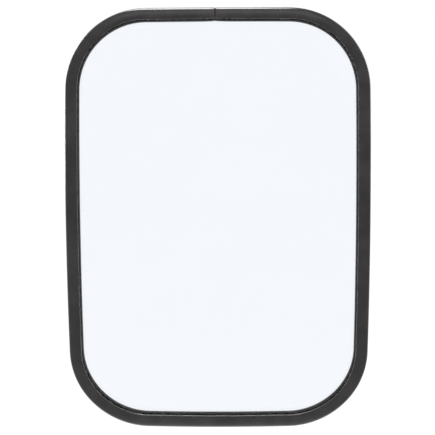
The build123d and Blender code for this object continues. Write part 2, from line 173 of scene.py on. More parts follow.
# ---------------------------------------------------------------- node helpers
class Nodes:
    """A material's node tree with short calls."""

    def __init__(self, name):
        self.material = bpy.data.materials.new(name)
        self.material.use_nodes = True
        self.tree = self.material.node_tree
        self.tree.nodes.clear()
        self.out = self.new("ShaderNodeOutputMaterial")
        self.shader = self.new("ShaderNodeBsdfPrincipled")
        self.link(self.shader.outputs["BSDF"], self.out.inputs["Surface"])
        self.coords = self.new("ShaderNodeTexCoord")

    def new(self, kind, **settings):
        node = self.tree.nodes.new(kind)
        for key, value in settings.items():
            setattr(node, key, value)
        return node

    def link(self, a, b):
        self.tree.links.new(a, b)

    def put(self, value, socket):
        """Links a socket, or sets a constant."""
        if isinstance(value, bpy.types.NodeSocket):
            self.link(value, socket)
        else:
            socket.default_value = value

    def put_colour(self, value, socket):
        """Links a socket, or sets a constant (red, green, blue)."""
        self.put((*value, 1.0) if isinstance(value, tuple) else value, socket)

    def set(self, **values):
        """Constants on the Principled shader, named with _ for a space."""
        for key, value in values.items():
            self.shader.inputs[key.replace("_", " ")].default_value = value

    def sized(self, size, stretch=(1, 1, 1), source="Object"):
        """Coordinates that advance by 1 over size metres, times stretch."""
        mapping = self.new("ShaderNodeMapping")
        mapping.inputs["Scale"].default_value = [1 / (size * s) for s in stretch]
        self.link(self.coords.outputs[source], mapping.inputs["Vector"])
        return mapping.outputs["Vector"]

    def split(self, source, axis):
        """One coordinate, in metres."""
        node = self.new("ShaderNodeSeparateXYZ")
        self.link(self.coords.outputs[source], node.inputs[0])
        return node.outputs[axis]

    def noise(self, size, detail=3.0, rough=0.55, stretch=(1, 1, 1), source="Object"):
        """Noise with features of about size metres, larger along the axes of a larger stretch."""
        node = self.new("ShaderNodeTexNoise")
        node.inputs["Scale"].default_value = 1.0
        node.inputs["Detail"].default_value = detail
        node.inputs["Roughness"].default_value = rough
        self.link(self.sized(size, stretch, source), node.inputs["Vector"])
        return node.outputs["Fac"]

    def cells(self, size):
        """Distance from the middles of cells of about size metres."""
        node = self.new("ShaderNodeTexVoronoi")
        node.inputs["Scale"].default_value = 1.0
        self.link(self.sized(size), node.inputs["Vector"])
        return node.outputs["Distance"]

    def ramp(self, fac, low, high, low_value=0.0, high_value=1.0):
        """Maps fac from low..high to low_value..high_value, clamped."""
        node = self.new("ShaderNodeMapRange")
        self.put(fac, node.inputs["Value"])
        limits = {"From Min": low, "From Max": high, "To Min": low_value, "To Max": high_value}
        for key, value in limits.items():
            node.inputs[key].default_value = value
        return node.outputs["Result"]

    def math(self, operation, a, b=0.0):
        node = self.new("ShaderNodeMath", operation=operation)
        self.put(a, node.inputs[0])
        self.put(b, node.inputs[1])
        return node.outputs[0]

    def mix(self, fac, a, b):
        """Colour mix of sockets or (red, green, blue). A Mix node has its colours on inputs 6 and 7,
        and gives their mix on output 2."""
        node = self.new("ShaderNodeMix", data_type="RGBA")
        self.put(fac, node.inputs[0])
        for value, socket in ((a, node.inputs[6]), (b, node.inputs[7])):
            self.put_colour(value, socket)
        return node.outputs[2]

    def bump(self, height, depth, strength=1.0, normal=None):
        """A normal bumped by depth metres where height is 1, on top of another bump if one is given."""
        node = self.new("ShaderNodeBump")
        node.inputs["Strength"].default_value = strength
        node.inputs["Distance"].default_value = depth
        self.put(height, node.inputs["Height"])
        if normal is not None:
            self.link(normal, node.inputs["Normal"])
        return node.outputs["Normal"]

    def edges(self, radius):
        """About 0 on flat places, rising to 1 on convex and concave edges: how far the normal
        turns when edges are rounded to the radius."""
        flat, turned_away = 0.99, 0.75
        bevel = self.new("ShaderNodeBevel", samples=6)
        bevel.inputs["Radius"].default_value = radius
        geometry = self.new("ShaderNodeNewGeometry")
        dot = self.new("ShaderNodeVectorMath", operation="DOT_PRODUCT")
        self.link(bevel.outputs["Normal"], dot.inputs[0])
        self.link(geometry.outputs["Normal"], dot.inputs[1])
        return self.ramp(dot.outputs["Value"], flat, turned_away)

    def base(self, colour):
        self.put_colour(colour, self.shader.inputs["Base Color"])

    def rough(self, value):
        self.put(value, self.shader.inputs["Roughness"])

    def normal(self, value):
        self.link(value, self.shader.inputs["Normal"])


# ---------------------------------------------------------------- materials
def rubber_material():
    """Smooth extruded black rubber: die lines along it, a fine skin, settled dust, and a painted
    highlight along the front lip's rounded inner edge, below the top. UV is in metres: along the trim,
    and round its section from the slot's front corner."""
    n = Nodes("rubber_trim")
    dark, light = (0.0058, 0.0044, 0.0050), (0.0158, 0.0136, 0.0143)
    # dust_colour is settled dust; the second colour and its strength are a painted highlight for the lip
    # edge.
    dust_colour, lip_highlight_colour, lip_highlight_most = (0.045, 0.042, 0.040), (0.070, 0.068, 0.067), 0.85

    blotch = n.noise(15 * MM, 5, 0.62)
    colour = n.mix(n.ramp(blotch, 0.38, 0.64), dark, light)
    dust = n.ramp(n.noise(0.8 * MM, 6, 0.75), 0.60, 0.76, 0.0, 0.30)
    dusty = n.mix(dust, colour, dust_colour)

    # Painted highlight: a pale band on the front lip's rounded inner edge, fading out towards the top.
    lip_edge = TRIM_FACE - TRIM_WEB_T
    round_section = n.split("UV", "Y")
    rising = n.ramp(round_section, lip_edge - 0.3 * MM, lip_edge)
    falling = n.ramp(round_section, lip_edge + 0.8 * MM, lip_edge + 1.5 * MM, lip_highlight_most, 0.0)
    below_top = n.ramp(n.split("Object", "Z"), HEAD_H / 2 - 45 * MM, HEAD_H / 2 - 12 * MM, 1.0, 0.0)
    lip_highlight_mask = n.math("MULTIPLY", n.math("MULTIPLY", rising, falling), below_top)
    n.base(n.mix(lip_highlight_mask, dusty, lip_highlight_colour))

    die_lines = n.noise(1 * MM, 3, 0.6, (60, 0.35, 1), "UV")
    skin = n.noise(0.25 * MM, 2, 0.6)
    uneven = n.math("ADD", n.math("MULTIPLY", blotch, 0.6), n.math("MULTIPLY", die_lines, 0.4))
    n.rough(n.ramp(uneven, 0.3, 0.7, 0.17, 0.27))
    n.normal(n.bump(skin, 0.004 * MM, 0.6, n.bump(die_lines, 0.012 * MM, 0.6)))
    n.set(Specular_IOR_Level=0.40)
    return n.material


def glass_material():
    """Clear float glass, with the long soft ripple that bending leaves."""
    n = Nodes("bent_glass")
    n.base((0.985, 0.992, 0.995))
    n.normal(n.bump(n.noise(70 * MM, 1, 0.4, (1, 1, 1.8)), 0.01 * MM, 0.15))
    n.rough(n.ramp(n.noise(18 * MM, 5, 0.7), 0.55, 0.8, 0.0, 0.012))
    n.set(IOR=1.52, Transmission_Weight=1.0)
    return n.material


def silver_material():
    """Silvering, with faint clouds."""
    n = Nodes("silvering")
    cloud = n.ramp(n.noise(45 * MM, 3), 0.3, 0.7)
    n.base(n.mix(cloud, (0.940, 0.951, 0.988), (0.948, 0.957, 0.992)))
    n.rough(n.ramp(cloud, 0.0, 1.0, 0.006, 0.012))
    n.set(Metallic=1.0)
    return n.material


def powder_coat(name, colour, roughness, grain, wear=0.5):
    """Painted steel: fine orange peel, colour clouds, dusty specks and edges rubbed to grey."""
    n = Nodes(name)
    lighter = tuple(c * 1.35 + 0.004 for c in colour)
    dusty = tuple(c * 2.2 + 0.02 for c in colour)
    rubbed_grey = (0.17, 0.17, 0.175)

    cloud = n.ramp(n.noise(30 * MM, 4), 0.3, 0.7)
    body = n.mix(cloud, colour, lighter)
    specks = n.ramp(n.noise(0.9 * MM, 6, 0.75), 0.66, 0.74)
    body = n.mix(n.math("MULTIPLY", specks, 0.30), body, dusty)
    worn = n.ramp(n.noise(4 * MM, 5, 0.7), 0.50, 0.66, 0.0, wear)
    n.base(n.mix(n.math("MULTIPLY", n.edges(0.8 * MM), worn), body, rubbed_grey))

    n.rough(n.ramp(n.noise(9 * MM, 4, 0.65), 0.3, 0.7, roughness - 0.06, roughness + 0.08))
    peel = n.noise(grain, 2, 0.5)
    n.normal(n.bump(peel, 0.10 * MM, 0.7, n.bump(specks, 0.03 * MM, 0.4)))
    n.set(Specular_IOR_Level=0.45)
    return n.material


def zinc_material(name, colour=(0.66, 0.665, 0.67), roughness=0.30, cast=False):
    """Zinc plate: cloudy passivation and fine handling marks, with a coarser skin if it is cast."""
    n = Nodes(name)
    red, green, blue = colour
    warm = (red, green * 0.965, blue * 0.90)
    cool = (red * 0.86, green * 0.90, blue * 0.97)
    marked = tuple(c * 0.62 for c in colour)
    grain, depth = (0.9 * MM, 0.10 * MM) if cast else (0.35 * MM, 0.02 * MM)

    cloud = n.ramp(n.noise(5 * MM, 4, 0.6), 0.3, 0.7)
    marks = n.ramp(n.noise(0.7 * MM, 5, 0.7), 0.55, 0.75, 0.0, 0.5)
    n.base(n.mix(marks, n.mix(cloud, warm, cool), marked))
    n.rough(n.ramp(n.noise(2.5 * MM, 5, 0.7), 0.3, 0.7, roughness - 0.08, roughness + 0.14))
    n.normal(n.bump(n.noise(grain, 4, 0.6), depth, 0.6))
    n.set(Metallic=1.0)
    return n.material


def turned_material():
    """Nickel-plated turning, with lathe rings across its axis and a few scuffs."""
    n = Nodes("stud_nickel")
    rings = n.noise(0.16 * MM, 2, 0.5, (60, 1, 60))
    scuff = n.ramp(n.noise(1.6 * MM, 6, 0.75), 0.60, 0.72)
    n.base(n.mix(scuff, (0.74, 0.73, 0.70), (0.50, 0.49, 0.47)))
    n.rough(n.math("ADD", n.ramp(rings, 0.3, 0.7, 0.10, 0.20), n.math("MULTIPLY", scuff, 0.18)))
    n.normal(n.bump(rings, 0.006 * MM, 0.5))
    n.set(Metallic=1.0)
    return n.material


def nylon_material():
    """Natural nylon, cloudy and a little translucent."""
    n = Nodes("nylon")
    cloud = n.ramp(n.noise(4 * MM, 4), 0.3, 0.7)
    n.base(n.mix(cloud, (0.70, 0.67, 0.58), (0.78, 0.755, 0.68)))
    n.rough(n.ramp(n.noise(1.2 * MM, 4), 0.3, 0.7, 0.34, 0.48))
    n.normal(n.bump(n.noise(0.4 * MM, 3), 0.015 * MM, 0.5))
    n.set(Subsurface_Weight=0.12, Subsurface_Scale=2 * MM)
    return n.material


def foam_material():
    """Closed-cell foam, lighter between its cells."""
    n = Nodes("foam")
    cells = n.cells(0.7 * MM)
    n.base(n.mix(n.ramp(cells, 0.1, 0.6), (0.018, 0.018, 0.019), (0.05, 0.05, 0.052)))
    n.rough(n.ramp(n.noise(3 * MM), 0.3, 0.7, 0.82, 0.95))
    n.normal(n.bump(cells, 0.15 * MM, 0.7))
    return n.material


RUBBER = rubber_material()
GLASS = glass_material()
SILVER = silver_material()
PAN_PAINT = powder_coat("pan_paint", (0.016, 0.0165, 0.018), 0.40, 0.8 * MM)
BRACKET_PAINT = powder_coat("bracket_paint", (0.014, 0.0145, 0.0155), 0.36, 1.3 * MM, 0.8)
ZINC = zinc_material("zinc_plate")
ZINC_CAST = zinc_material("zinc_cast", (0.60, 0.605, 0.61), 0.36, True)
NICKEL = turned_material()
NYLON = nylon_material()
FOAM = foam_material()


# ---------------------------------------------------------------- lens
def lens_shell(name, front_r, back_r, inset, rings=44):
    """A closed shell between two spheres, with the head's outline drawn in by inset."""
    rim = [(x - inset * nx, z - inset * nz) for x, z, nx, nz, _ in head_path(3.2 * MM)]
    count = len(rim)
    verts, faces = [], []
    for radius in (front_r, back_r):
        verts.append((0, sphere_y(radius, 0, 0), 0))
        for k in range(1, rings + 1):
            share = k / rings
            verts += [(x * share, sphere_y(radius, x * share, z * share), z * share) for x, z in rim]
    side = 1 + rings * count

    def at(layer, ring, k):
        return layer * side + 1 + (ring - 1) * count + k % count

    for layer in (0, 1):
        for k in range(count):
            patch = [(layer * side, at(layer, 1, k), at(layer, 1, k + 1))]
            patch += [(at(layer, r, k), at(layer, r + 1, k), at(layer, r + 1, k + 1), at(layer, r, k + 1))
                      for r in range(1, rings)]
            faces += [face[::-1] if layer == 0 else face for face in patch]
    faces += [(at(0, rings, k + 1), at(1, rings, k + 1), at(1, rings, k), at(0, rings, k))
              for k in range(count)]
    return mesh_object(name, verts, faces)


finish_piece(lens_shell("lens_glass", LENS_R, GLASS_BACK_R, TRIM_WEB_T + GLASS_SLACK),
             "mirror_head", "mirror_glass", GLASS, "mirror_glass")
finish_piece(lens_shell("lens_silver", SILVER_FRONT_R, SILVER_BACK_R, TRIM_WEB_T + 2 * GLASS_SLACK),
             "mirror_head", "silvering", SILVER, "silver_film")


# ---------------------------------------------------------------- rubber trim
def arc(cx, cy, r, start_deg, end_deg, steps):
    """Points on an arc, both ends included."""
    angles = [radians(start_deg + (end_deg - start_deg) * k / steps) for k in range(steps + 1)]
    return [(cx + r * cos(a), cy + r * sin(a)) for a in angles]


def lip_profile(contact, outside, sign):
    """One lip, from the slot's corner out to the shoulder: (inset, sphere radius) pairs.
    sign is +1 for the front lip, whose outside has the larger radius. The face is a little crowned."""
    toe_r, edge_r, face_steps = 0.25 * MM, TRIM_EDGE_R, 8
    thickness = abs(outside - contact)
    points = [(TRIM_WEB_T, 0.0), ((TRIM_WEB_T + TRIM_FACE) / 2, 0.0)]
    points += arc(TRIM_FACE - toe_r, toe_r, toe_r, -90, 0, 3)
    points += arc(TRIM_FACE - edge_r, thickness - TRIM_EDGE_DROP - edge_r, edge_r, 0, 90, 14)
    shoulder_start = TRIM_SHOULDER_R * (1 - sin(TRIM_SHOULDER_LEAN))
    face_run = TRIM_FACE - edge_r - shoulder_start
    for k in range(1, face_steps):
        t = k / face_steps
        drop = TRIM_EDGE_DROP * (1 - t) ** 2 + TRIM_SHOULDER_DROP * t ** 2
        points.append((TRIM_FACE - edge_r - face_run * t, thickness - drop))
    return [(inset, contact + sign * height) for inset, height in points]


def trim_profile():
    """The whole channel section, closed."""
    front_out = LENS_R + TOUCH + TRIM_LIP_T
    rear_out = PAN_BACK_R - TOUCH - TRIM_LIP_T
    front = lip_profile(LENS_R + TOUCH, front_out, 1)
    rear = lip_profile(PAN_BACK_R - TOUCH, rear_out, -1)
    r, lean = TRIM_SHOULDER_R, degrees(TRIM_SHOULDER_LEAN)
    sink = TRIM_SHOULDER_DROP + r * cos(TRIM_SHOULDER_LEAN)
    front_round = arc(r, front_out - sink, r, 90 + lean, 180, 12)
    rear_round = arc(r, rear_out + sink, r, 180, 270 - lean, 12)
    return front + front_round + rear_round + rear[::-1]


def trim_path():
    """The head's path from one face of the butt joint round to the other, closer near the joint."""
    half_gap, first_step, growth, near_steps = 0.012 * MM, 0.12 * MM, 1.35, 14
    near = [half_gap] + [half_gap + first_step * growth ** k for k in range(near_steps)]
    path = head_path(4 * MM, TRIM_JOINT_X)
    length = path[-1][4] + hypot(path[-1][0] - path[0][0], path[-1][1] - path[0][1])
    top = HEAD_H / 2
    start = [(TRIM_JOINT_X + d, top, 0, 1, d) for d in near]
    end = [(TRIM_JOINT_X - d, top, 0, 1, length - d) for d in near[::-1]]
    clear = near[-1] + 1 * MM
    return start + [p for p in path if clear < p[4] < length - clear] + end, length


def edge_trim():
    """Swept rubber channel. Its lips reach further in along the bottom than along the top, as it is
    seated, and at the butt joint its cut ends are rounded and its lips draw back a little."""
    nick_depth, nick_run = 0.50 * MM, 3.2 * MM
    round_depth, round_run, most_rounded = 0.45 * MM, 0.28 * MM, 0.8
    profile = trim_profile()
    path, length = trim_path()
    mid_r = (LENS_R + PAN_BACK_R) / 2
    slot_half = (LENS_R - PAN_BACK_R) / 2 + 2 * TOUCH
    verts = []
    for x, z, nx, nz, walked in path:
        to_joint = min(walked, length - walked)
        nick = nick_depth * exp(-to_joint / nick_run)
        rounding = round_depth * exp(-to_joint / round_run)
        for inset, radius in profile:
            lip_share = max(0.0, (inset - TRIM_WEB_T) / (TRIM_FACE - TRIM_WEB_T))
            inset -= (nick + TRIM_SEAT_SHIFT * nz) * lip_share ** 2
            if inset < TRIM_WEB_T - TOUCH:
                inset += rounding
            half = abs(radius - mid_r)
            if half > slot_half:
                half -= min(rounding, most_rounded * (half - slot_half))
            px, pz = x - inset * nx, z - inset * nz
            verts.append((px, sphere_y(mid_r + (half if radius > mid_r else -half), px, pz), pz))
    count = len(profile)
    around = [0.0]
    for a, b in zip(profile, profile[1:] + profile[:1]):
        around.append(around[-1] + hypot(b[0] - a[0], b[1] - a[1]))
    faces, uvs = [], []
    for s in range(len(path) - 1):
        for k in range(count):
            nxt = (k + 1) % count
            faces.append((s * count + k, s * count + nxt, (s + 1) * count + nxt, (s + 1) * count + k))
            u0, u1 = path[s][4], path[s + 1][4]
            v0, v1 = around[k], around[k + 1]
            uvs.append(((u0, v0), (u0, v1), (u1, v1), (u1, v0)))
    last = (len(path) - 1) * count
    faces.append(tuple(range(count))[::-1])
    faces.append(tuple(last + k for k in range(count)))
    uvs += [[(0, 0)] * count] * 2
    return mesh_object("rubber_edge", verts, faces, 50, uvs)


finish_piece(edge_trim(), "mirror_head", "rubber_trim", RUBBER, "edge_trim")


# ---------------------------------------------------------------- back pan
def pan_height(x, z, inset):
    """Y of the pan's rear face where the outline is drawn in by inset."""
    fillet_r = 9 * MM
    tangent = fillet_r * tan((pi / 2 - PAN_DRAFT) / 2)
    arc_inset = PAN_FLOOR_INSET + tangent
    wall = PAN_FLOOR_Y - (PAN_FLOOR_INSET - inset) / tan(PAN_DRAFT)
    if inset > arc_inset:
        dish = PAN_FLOOR_Y
    elif inset > PAN_FLOOR_INSET - tangent * sin(PAN_DRAFT):
        dish = PAN_FLOOR_Y - fillet_r + sqrt(max(0, fillet_r ** 2 - (arc_inset - inset) ** 2))
    else:
        dish = wall
    flange = sphere_y(PAN_BACK_R, x, z)
    blend = 5 * MM
    near = max(0.0, blend - abs(dish - flange)) / blend
    return max(dish, flange) + near * near * blend / 4


def pan_bead(x, z):
    """How far two long stiffening beads are pressed outward at a point of the pan's floor."""
    bead_x, half_len, half_w, height = 48 * MM, 68 * MM, 5.5 * MM, 1.9 * MM
    past_end = max(0.0, abs(z) - half_len)
    away = hypot(abs(x) - bead_x, past_end) / half_w
    return height * (0.5 + 0.5 * cos(pi * min(1.0, away)))


def back_pan():
    """Drawn steel pan. Its rear face runs ring by ring from the flange's edge in to the stud's hole,
    and its front face keeps the sheet's thickness on the slopes."""
    flange_inset, wall_step, wall_rings = TRIM_WEB_T + 0.5 * MM, 0.7 * MM, 44
    floor_rings, hole_r, most_slanted = 64, 4.4 * MM, 2.2
    path = head_path(2.4 * MM)
    count = len(path)
    rings = []
    for k in range(wall_rings):
        inset = flange_inset + wall_step * k
        ring = []
        for x, z, nx, nz, _ in path:
            px, pz = x - inset * nx, z - inset * nz
            ring.append((px, pan_height(px, pz, inset), pz))
        rings.append(ring)
    outer = rings[-1]
    for k in range(1, floor_rings + 1):
        share = k / floor_rings
        ring = []
        for x, _, z in outer:
            away = hypot(x, z)
            reach = (1 - share) * away + share * hole_r
            px, pz = x * reach / away, z * reach / away
            ring.append((px, PAN_FLOOR_Y + pan_bead(px, pz), pz))
        rings.append(ring)
    rear = [v for ring in rings for v in ring]
    front = []
    for r, ring in enumerate(rings):
        before, after = rings[max(0, r - 1)], rings[min(len(rings) - 1, r + 1)]
        for k, (x, y, z) in enumerate(ring):
            a, b = Vector(before[k]), Vector(after[k])
            slope = abs(b.y - a.y) / hypot(b.x - a.x, b.z - a.z)
            front.append((x, y - PAN_T * min(most_slanted, sqrt(1 + slope * slope)), z))
    verts = rear + front
    total = len(rear)
    faces = []
    for r in range(len(rings) - 1):
        for k in range(count):
            a, b = r * count + k, r * count + (k + 1) % count
            c, d = a + count, b + count
            faces.append((a, b, d, c))
            faces.append((total + a, total + c, total + d, total + b))
    last = (len(rings) - 1) * count
    for k in range(count):
        nxt = (k + 1) % count
        faces.append((k, total + k, total + nxt, nxt))
        faces.append((last + k, last + nxt, total + last + nxt, total + last + k))
    return mesh_object("drawn_pan", verts, faces, 60)


finish_piece(back_pan(), "mirror_head", "pan_paint", PAN_PAINT, "back_pan")


# ---------------------------------------------------------------- turned and threaded metal
def turned(stations, sides=48):
    """Verts and faces of a closed solid about the Y axis. Each station is (y, radius), with the
    radius a number or a function of the angle and y."""
    verts, faces = [], []
    for y, radius in stations:
        for k in range(sides):
            angle = 2 * pi * k / sides
            r = radius(angle, y) if callable(radius) else radius
            verts.append((r * cos(angle), y, r * sin(angle)))
    for ring in range(len(stations) - 1):
        for k in range(sides):
            a, b = ring * sides + k, ring * sides + (k + 1) % sides
            faces.append((a, b, b + sides, a + sides))
    last = (len(stations) - 1) * sides
    faces.append(tuple(range(sides))[::-1])
    faces.append(tuple(range(last, last + sides)))
    if stations[0][0] <= stations[-1][0]:
        faces = [f[::-1] for f in faces]
    return verts, faces


def joined(name, parts, sharp_deg=35):
    """One object from several (verts, faces, matrix) parts."""
    all_verts, all_faces = [], []
    for verts, faces, matrix in parts:
        start = len(all_verts)
        all_verts += [matrix @ Vector(v) for v in verts]
        all_faces += [tuple(start + i for i in f) for f in faces]
    return mesh_object(name, all_verts, all_faces, sharp_deg)


def spread(start, end, steps):
    """Evenly spaced values, both ends included."""
    return [start + (end - start) * k / steps for k in range(steps + 1)]


def hexagon_r(across_flats, low_y, high_y):
    """A hexagonal bar, corners on +X, its corners turned off at both ends."""
    end_r, corner_r = across_flats / 2 * 0.985, across_flats / sqrt(3) * 0.995
    chamfer_slope = 1.75

    def radius(angle, y):
        flat = across_flats / 2 / cos(angle % (pi / 3) - pi / 6)
        from_end = min(abs(y - low_y), abs(high_y - y))
        return min(flat, end_r + from_end * chamfer_slope, corner_r)
    return radius


def hexagon_stations(across_flats, low_y, high_y):
    """Stations close together at both chamfered ends."""
    chamfer_depth, steps = 0.7 * MM, 6
    radius = hexagon_r(across_flats, low_y, high_y)
    ys = spread(low_y, low_y + chamfer_depth, steps) + spread(high_y - chamfer_depth, high_y, steps)
    return [(y, radius) for y in ys]


def square_r(side):
    """A square bar with its corners a little rounded."""
    corner_r = side * 0.66

    def radius(angle, y):
        return min(side / 2 / max(abs(cos(angle)), abs(sin(angle))), corner_r)
    return radius


def thread_r(nominal, pitch, start_y, end_y):
    """A right-hand thread inside the nominal radius, running out to a chamfer at end_y."""
    groove, chamfer = 0.60 * pitch, 0.75 * pitch
    root_share, flank_share = 0.10, 0.74

    def radius(angle, y):
        phase = (y / pitch + angle / (2 * pi)) % 1.0
        ridge = min(1.0, max(0.0, (abs(2 * phase - 1) - root_share) / flank_share))
        depth = groove * min(1.0, abs(y - start_y) / pitch)
        return min(nominal - depth * (1 - ridge), nominal - chamfer + abs(end_y - y))
    return radius


def thread_stations(nominal, pitch, start_y, end_y):
    """Stations along a thread, several to each turn."""
    per_turn = 9
    count = ceil(abs(end_y - start_y) / pitch * per_turn)
    radius = thread_r(nominal, pitch, start_y, end_y)
    return [(y, radius) for y in spread(start_y, end_y, count)]


def dome_stations(base_y, base_r, height, direction, steps=12):
    """From the rim of a round head to near its pole, along Y in direction."""
    pole_r = 0.05 * MM
    ball_r = (base_r ** 2 + height ** 2) / (2 * height)
    out = []
    for k in range(steps + 1):
        lift = height * sin(pi / 2 * k / steps)
        r = sqrt(max(0.0, ball_r ** 2 - (ball_r - height + lift) ** 2))
        out.append((base_y + direction * lift, max(r, pole_r)))
    return out


STILL = Matrix.Identity(4)
M8_R, M8_PITCH = 4 * MM, 1.25 * MM
M5_R, M5_PITCH = 2.5 * MM, 0.8 * MM


def ball_stud():
    """Ball on a filleted neck, hexagonal collar, and an M8 shank with a relief under the collar."""
    low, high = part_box("ball_stud")
    ball_r, neck_r = high.z, 3.5 * MM
    collar_y, collar_t, collar_af = BALL_Y - 15 * MM, 5 * MM, 14 * MM
    fillet, fillet_run, flare = 0.7 * MM, 0.9 * MM, 1.6 * MM
    relief_l, relief_r = 0.8 * MM, M8_R - 0.6 * MM
    join = sqrt(ball_r ** 2 - (neck_r + fillet) ** 2)
    neck_start = BALL_Y - join

    pole_to_neck = spread(0, pi, 48)[1:41]
    ball = [(BALL_Y + ball_r * cos(a), ball_r * sin(a)) for a in pole_to_neck]
    ball += [(neck_start - fillet_run * t, neck_r + fillet * (1 - t) ** 2) for t in spread(0, 1, 6)]
    ball += [(collar_y + flare * (1 - t), neck_r + flare * t ** 2) for t in spread(0, 1, 8)]
    collar = hexagon_stations(collar_af, collar_y - collar_t, collar_y)[::-1]
    shank_y = collar_y - collar_t
    shank = [(shank_y + TOUCH, relief_r), (shank_y - relief_l, relief_r)]
    shank += thread_stations(M8_R, M8_PITCH, shank_y - relief_l, low.y)
    return joined("ball_stud_turned", [(*turned(part), STILL) for part in (ball, collar, shank)])


finish_piece(ball_stud(), "ball_stud", "stud_steel", NICKEL, "ball_stud")


def carriage_bolts():
    """Round heads, square necks, plain shanks and rolled threads."""
    low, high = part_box("carriage_bolts")
    head_r, head_h, rim = 6.6 * MM, 2.8 * MM, 0.35 * MM
    side, neck_l, neck_chamfer, neck_end_r = 5 * MM, 2.2 * MM, 0.3 * MM, M5_R * 0.9
    plain_l, shank_r = 4.5 * MM, M5_R * 0.97
    head_y = low.y + head_h
    head = [(head_y, head_r - rim), (head_y - rim / 2, head_r - rim * 0.1), (head_y - rim, head_r)]
    head += dome_stations(head_y - rim, head_r, head_h - rim, -1)
    neck = [(head_y - TOUCH, square_r(side)), (head_y + neck_l - neck_chamfer, square_r(side)),
            (head_y + neck_l, neck_end_r)]
    thread_y = head_y + neck_l + plain_l
    shank = [(head_y, shank_r), (thread_y, shank_r)]
    shank += thread_stations(M5_R, M5_PITCH, thread_y, high.y)
    places = [Matrix.Translation((x, 0, 0)) for x in (low.x + head_r, high.x - head_r)]
    parts = [(*turned(part, 40), place) for place in places for part in (head, neck, shank)]
    return joined("clamp_carriage_bolts", parts)


finish_piece(carriage_bolts(), "swing_arm", "zinc_steel", ZINC, "carriage_bolts")


def pivot_bolt():
    """Hexagon bolt, head up, with a partly threaded shank."""
    low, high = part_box("pivot_bolt")
    across_flats, head_h, thread_l, shank_r = 13 * MM, 5.3 * MM, 22 * MM, M8_R * 0.985
    upright = Matrix.Translation((0, PIVOT_Y, 0)) @ Matrix.Rotation(pi / 2, 4, "X")
    under = high.z - head_h
    head = hexagon_stations(across_flats, under, high.z)
    shank = [(under + TOUCH, shank_r), (low.z + thread_l, shank_r)]
    shank += thread_stations(M8_R, M8_PITCH, low.z + thread_l, low.z)
    return joined("pivot_bolt_turned", [(*turned(part), upright) for part in (head, shank)])


finish_piece(pivot_bolt(), "wall_bracket", "zinc_steel", ZINC, "pivot_bolt")


def rivets():
    """Blind rivets: a thin round flange, and the broken mandrel down in its hole."""
    low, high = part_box("rivets")
    head_r, head_h, shank_r, tail_r, tail_h = 3.8 * MM, 1.3 * MM, 2 * MM, 3 * MM, 1.6 * MM
    tail_round, rim_h, rim_in = 0.4 * MM, 0.25 * MM, 0.1 * MM
    hole_r, hole_depth, hole_wall = 1.15 * MM, 0.55 * MM, 0.25 * MM

    tail_y = low.y + tail_h
    stations = [(low.y, tail_r * 0.6), (low.y + tail_round, tail_r), (tail_y, tail_r * 0.9)]
    stations += [(tail_y, shank_r), (PAN_FLOOR_Y, shank_r), (PAN_FLOOR_Y, head_r - rim_in)]
    dome = dome_stations(PAN_FLOOR_Y + rim_h, head_r, head_h - rim_h, 1)
    stations += [(y, r) for y, r in dome if r > hole_r + hole_wall]
    top_y = stations[-1][0]
    hole = [(0, 1), (1, 0.93), (1, 0.8)]
    mandrel = [(0.5, 0.62), (0.4, 0.1)]
    stations += [(top_y - hole_depth * depth, hole_r * share) for depth, share in hole + mandrel]

    xs, zs = (low.x + head_r, high.x - head_r), (low.z + head_r, high.z - head_r)
    places = [Matrix.Translation((x, 0, z)) for x in xs for z in zs]
    return joined("blind_rivets", [(*turned(stations, 36), place) for place in places])


finish_piece(rivets(), "mirror_head", "zinc_steel", ZINC, "rivets")


# ---------------------------------------------------------------- wing nuts
def wing_outline(span, top):
    """One ear's (x, y) outline: the tangent lines round a disc at the hub and one at the tip."""
    tip_r, root_r = 4.4 * MM, 2.6 * MM
    root, tip = (3.4 * MM, 3.0 * MM), (span - tip_r, top - tip_r)
    lean = atan2(tip[1] - root[1], tip[0] - root[0])
    opening = asin((tip_r - root_r) / hypot(tip[0] - root[0], tip[1] - root[1]))
    tip_start, tip_end = lean - pi / 2 - opening, lean + pi / 2 + opening
    outline = [(tip[0] + tip_r * cos(a), tip[1] + tip_r * sin(a)) for a in spread(tip_start, tip_end, 22)]
    root_end = lean + 3 * pi / 2 - opening
    return outline + [(root[0] + root_r * cos(a), root[1] + root_r * sin(a))
                      for a in spread(tip_end, root_end, 12)]


def melt_and_bore(made):
    """Runs a nut's pieces together, rounds them off, and bores its thread hole along Y."""
    bore_start, bore_end = -5 * MM, 20 * MM
    remesh = made.modifiers.new("melt", "REMESH")
    remesh.mode = "VOXEL"
    remesh.voxel_size = 0.28 * MM
    smooth = made.modifiers.new("smooth", "SMOOTH")
    smooth.factor = 0.5
    smooth.iterations = 9
    bore = mesh_object("bore", *turned([(bore_start, M5_R), (bore_end, M5_R)]))
    cut = made.modifiers.new("bore", "BOOLEAN")
    cut.operation = "DIFFERENCE"
    cut.object = bore
    cut.solver = "EXACT"
    bpy.context.view_layer.update()
    solid = made.evaluated_get(bpy.context.evaluated_depsgraph_get())
    mesh = bpy.data.meshes.new_from_object(solid)
    made.modifiers.clear()
    made.data = mesh
    bpy.data.objects.remove(bore)


